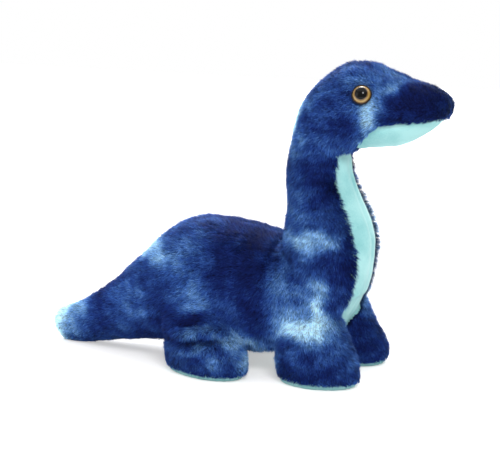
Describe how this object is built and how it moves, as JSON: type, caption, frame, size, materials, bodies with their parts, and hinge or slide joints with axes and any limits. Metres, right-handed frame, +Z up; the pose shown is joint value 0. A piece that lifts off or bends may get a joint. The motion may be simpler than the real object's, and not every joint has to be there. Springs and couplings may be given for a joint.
{
  "type": "stuffed dinosaur",
  "caption": "Soft long-necked dinosaur toy in mottled blue plush with an aqua belly and soles, amber eyes, and a neck, head, tail and legs that flex.",
  "frame": {"origin": "on the floor below the middle of the toy's length", "axes": "+X from the tail to the snout, +Y toward the toy's left side, +Z up"},
  "size_m": [0.3205, 0.1188, 0.2319],
  "materials": {
    "blue_plush": "combed pile, mottled from navy to sky blue",
    "aqua_plush": "short smooth nap",
    "filling": "loose white polyester fibre",
    "amber_eye": "glossy amber with a darker rim",
    "black_plastic": "glossy black",
    "washer_plastic": "matte ivory"
  },
  "bodies": {
    "torso": {"rear_side_right": "blue_plush", "rear_side_left": "blue_plush", "shoulder_right": "blue_plush", "shoulder_left": "blue_plush", "belly_panel": "aqua_plush", "torso_filling": "filling"},
    "neck_lower": {"neck_lower_right": "blue_plush", "neck_lower_left": "blue_plush", "throat_lower": "aqua_plush", "neck_lower_filling": "filling"},
    "neck_upper": {"neck_upper_right": "blue_plush", "neck_upper_left": "blue_plush", "throat_upper": "aqua_plush", "neck_upper_filling": "filling"},
    "head": {"head_side_right": "blue_plush", "head_side_left": "blue_plush", "crown_gusset": "blue_plush", "chin_panel": "aqua_plush", "head_filling": "filling", "eye_iris_right": "amber_eye", "eye_pupil_right": "black_plastic", "eye_shank_right": "black_plastic", "eye_washer_right": "washer_plastic", "eye_iris_left": "amber_eye", "eye_pupil_left": "black_plastic", "eye_shank_left": "black_plastic", "eye_washer_left": "washer_plastic"},
    "tail_root": {"tail_root_right": "blue_plush", "tail_root_left": "blue_plush", "tail_root_filling": "filling"},
    "tail_tip": {"tail_tip_right": "blue_plush", "tail_tip_left": "blue_plush", "tail_tip_filling": "filling"},
    "front_leg_right": {"front_leg_right_outer": "blue_plush", "front_leg_right_inner": "blue_plush", "front_sole_right": "aqua_plush", "front_leg_right_filling": "filling"},
    "front_leg_left": {"front_leg_left_outer": "blue_plush", "front_leg_left_inner": "blue_plush", "front_sole_left": "aqua_plush", "front_leg_left_filling": "filling"},
    "rear_leg_right": {"rear_leg_right_outer": "blue_plush", "rear_leg_right_inner": "blue_plush", "rear_sole_right": "aqua_plush", "rear_leg_right_filling": "filling"},
    "rear_leg_left": {"rear_leg_left_outer": "blue_plush", "rear_leg_left_inner": "blue_plush", "rear_sole_left": "aqua_plush", "rear_leg_left_filling": "filling"}
  },
  "joints": [
    {"name": "neck_lean", "type": "hinge", "parent": "torso", "child": "neck_lower", "pos_m": [0.06656, 0, 0.11136], "axis": [0, 1, 0], "range_deg": [-15, 15], "stiffness_Nm_per_rad": 2},
    {"name": "neck_sway", "type": "hinge", "parent": "neck_lower", "child": "neck_upper", "pos_m": [0.0624, 0, 0.1392], "axis": [1, 0, 0], "range_deg": [-14, 14], "stiffness_Nm_per_rad": 1.5},
    {"name": "head_nod", "type": "hinge", "parent": "neck_upper", "child": "head", "pos_m": [0.0608, 0, 0.17052], "axis": [0, 1, 0], "range_deg": [-15, 15], "stiffness_Nm_per_rad": 1.5},
    {"name": "tail_swing", "type": "hinge", "parent": "torso", "child": "tail_root", "pos_m": [-0.0768, 0, 0.04408], "axis": [0, 0, 1], "range_deg": [-18, 18], "stiffness_Nm_per_rad": 1.5},
    {"name": "tail_lift", "type": "hinge", "parent": "tail_root", "child": "tail_tip", "pos_m": [-0.1184, 0, 0.02784], "axis": [0, 1, 0], "range_deg": [-14, 14], "stiffness_Nm_per_rad": 0.8},
    {"name": "front_leg_swing_right", "type": "hinge", "parent": "torso", "child": "front_leg_right", "pos_m": [0.0688, -0.032, 0.046], "axis": [0, 1, 0], "range_deg": [-8, 8], "stiffness_Nm_per_rad": 3},
    {"name": "front_leg_swing_left", "type": "hinge", "parent": "torso", "child": "front_leg_left", "pos_m": [0.0688, 0.032, 0.046], "axis": [0, 1, 0], "range_deg": [-8, 8], "stiffness_Nm_per_rad": 3},
    {"name": "rear_leg_swing_right", "type": "hinge", "parent": "torso", "child": "rear_leg_right", "pos_m": [-0.0176, -0.039, 0.046], "axis": [0, 1, 0], "range_deg": [-8, 8], "stiffness_Nm_per_rad": 3},
    {"name": "rear_leg_swing_left", "type": "hinge", "parent": "torso", "child": "rear_leg_left", "pos_m": [-0.0176, 0.039, 0.046], "axis": [0, 1, 0], "range_deg": [-8, 8], "stiffness_Nm_per_rad": 3}
  ]
}
